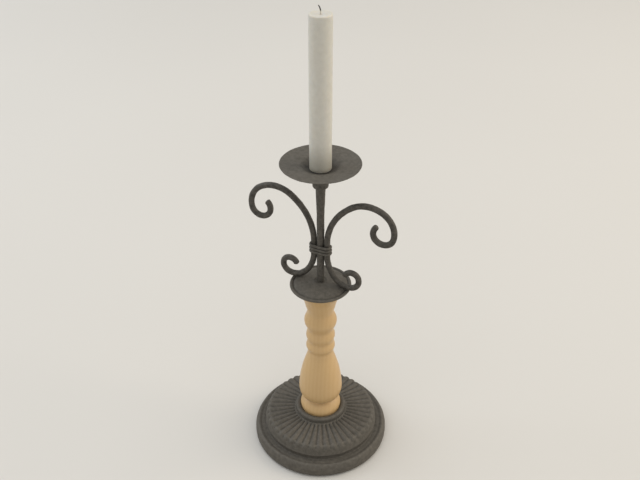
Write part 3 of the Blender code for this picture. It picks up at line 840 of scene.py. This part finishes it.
def dinner_candle(finish):
    """The candle: a rounded shoulder, a slightly dished top round the wick, and the bore for the spike."""
    outer, top = reach("candle"), tall("candle")
    edge = 1.3  # radius of the shoulder
    shelf, shelf_radius = 1.3, 4.3  # the room for the pricket's shoulder
    bore, bore_end, wick_hole = 2.7, 35.7, 1.0
    outline = [(shelf_radius, 0), (outer - 0.5, 0), (outer - 0.15, 0.15), (outer, 0.5)]
    rows = 50
    outline += [(outer, 0.5 + (top - edge - 0.5) * k / rows) for k in range(1, rows)]
    outline += arc((outer - edge, top - edge), edge, 0, 80, 8)
    dish = [(outer - 2.2, top - 0.05), (7, top - 0.25), (4, top - 0.5), (2, top - 0.65)]
    outline += curve(dish + [(wick_hole, top - 0.75)], 3)
    outline += [(wick_hole, bore_end), (bore, bore_end), (bore, shelf), (shelf_radius, shelf)]

    def uneven(radius, height, turn):
        if radius < outer - 0.1:
            return radius, height
        place = (radius * math.cos(turn) / 14, radius * math.sin(turn) / 14, height / 30)
        return radius + 0.07 * noise.noise(Vector(place)) - 0.03, height

    piece("dinner_candle", lathe("candle", outline, 80, uneven), finish, "candle")


def braided_wick(finish):
    """Three strands twisted together, leaning over above the candle."""
    low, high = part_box("wick")
    bottom, tip = low.z / MM, high.z / MM
    bend_from = foot("candle") + tall("candle") + 1.5
    lean = Vector((-0.91, -0.41, 0)) * 2.2
    lay = 2.6  # length of one twist
    strand, around = 0.34, 0.31  # radius of a strand and its distance from the middle
    steps, sides = 260, 8
    whole = bmesh.new()
    for number in range(3):
        rings = []
        for k in range(steps + 1):
            height = bottom + 0.5 + (tip - 1.0 - bottom) * k / steps
            bent = max(0, (height - bend_from) / (tip - bend_from))
            turn = 2 * math.pi * (height / lay + number / 3)
            out = Vector((math.cos(turn), math.sin(turn), 0))
            across = Vector((-math.sin(turn), math.cos(turn), 0.35)).normalized()
            up = across.cross(out)
            middle = lean * bent * bent + out * around + Vector((0, 0, height))
            thin = strand * (1 - 0.4 * smooth(height, tip - 2.5, tip))
            spokes = (2 * math.pi * j / sides for j in range(sides))
            rings.append([middle + thin * (out * math.cos(a) + up * math.sin(a)) for a in spokes])
        strand_mesh = bpy.data.meshes.new("strand")
        tube(rings).to_mesh(strand_mesh)
        whole.from_mesh(strand_mesh)
        bpy.data.meshes.remove(strand_mesh)
    piece("braided_wick", whole, finish, "wick")


# -------------------------------------------------------------------------------------- floor, light, camera


def floor(finish):
    bm = bmesh.new()
    bmesh.ops.create_circle(bm, cap_ends=True, segments=64, radius=FLOOR_RADIUS)
    mesh = bpy.data.meshes.new("floor")
    bm.to_mesh(mesh)
    bm.free()
    mesh.materials.append(finish)
    obj = bpy.data.objects.new("floor", mesh)
    bpy.context.scene.collection.objects.link(obj)


def softbox(name, azimuth, elevation, size, colour, power):
    """A square lamp aimed at the candlestick's middle.

    Azimuth is in degrees from the camera's side, clockwise seen from above.
    """
    lamp = bpy.data.lights.new(name, "AREA")
    lamp.shape = "SQUARE"
    lamp.size = size
    lamp.color = colour
    lamp.energy = power
    obj = bpy.data.objects.new(name, lamp)
    turn = CAMERA_AZIMUTH - math.radians(azimuth)
    rise = math.radians(elevation)
    away = Vector((math.sin(turn) * math.cos(rise), -math.cos(turn) * math.cos(rise), math.sin(rise)))
    low, high = cad_bounds
    obj.location = (low + high) / 2 + away * LAMP_DISTANCE
    obj.rotation_euler = (-away).to_track_quat("-Z", "Y").to_euler()
    bpy.context.scene.collection.objects.link(obj)


def studio():
    world = bpy.data.worlds.new("studio")
    world.use_nodes = True
    sky = world.node_tree.nodes["Background"]
    sky.inputs["Color"].default_value = (1.0, 0.99, 0.97, 1)
    sky.inputs["Strength"].default_value = 0.62
    bpy.context.scene.world = world
    softbox("left_softbox", azimuth=112, elevation=30, size=3.0, colour=(0.85, 0.92, 1.0), power=54)
    softbox("right_softbox", azimuth=-97, elevation=30, size=3.0, colour=(1.0, 0.89, 0.73), power=74)
    softbox("top_softbox", azimuth=15, elevation=80, size=3.5, colour=(1.0, 0.99, 0.97), power=45)


def camera():
    lens = bpy.data.cameras.new("camera")
    lens.lens = LENS
    lens.sensor_width = SENSOR
    lens.shift_x, lens.shift_y = SHIFT_X, SHIFT_Y
    obj = bpy.data.objects.new("camera", lens)
    side, front = math.sin(CAMERA_AZIMUTH), -math.cos(CAMERA_AZIMUTH)
    obj.location = (CAMERA_DISTANCE * side, CAMERA_DISTANCE * front, CAMERA_HEIGHT)
    obj.rotation_euler = (math.radians(90) - CAMERA_PITCH, 0, CAMERA_AZIMUTH)
    bpy.context.scene.collection.objects.link(obj)
    bpy.context.scene.camera = obj


# ------------------------------------------------------------------------------------------------ everything


def build():
    cast = iron("cast_iron_skin", (0.078, 0.071, 0.059), (0.134, 0.121, 0.101), 1.1, 0.25, 0.62)
    forged = iron("forged_iron_skin", (0.056, 0.051, 0.043), (0.132, 0.120, 0.101), 0.9, 0.3, 0.6)
    # The scroll bars' iron is a darker copy of the stem's forged iron: painted shade on the bars.
    bar_iron_with_painted_shade = iron("scroll_iron_skin_painted_shade", (0.042, 0.038, 0.032), (0.112, 0.102, 0.086), 0.9, 0.4, 0.58)
    sheet = iron("beaten_sheet_skin", (0.082, 0.075, 0.063), (0.134, 0.123, 0.104), 0.9, 0.3, 0.6, soot_and_painted_shade=21)
    wood, wax, steel = turned_wood(), candle_wax(), zinc_steel()
    felt_pad(wool_felt())
    foot_bell(cast)
    column_seat(cast)
    turned_column(wood)
    top_plate(cast)
    threaded_rod(steel)
    flat_washer(steel)
    lock_washer(steel)
    hex_nut(steel)
    forged_stem(forged)
    forged_scroll("right_scroll", "scroll_right", 1, bar_iron_with_painted_shade)
    forged_scroll("left_scroll", "scroll_left", -1, bar_iron_with_painted_shade)
    wire_binding(forged)
    pan_collar(forged)
    dished_pan(sheet)
    spike(forged)
    dinner_candle(wax)
    braided_wick(wick_cotton())
    floor(floor_finish())
    studio()
    camera()


bpy.context.scene.view_settings.view_transform = "Standard"
build()
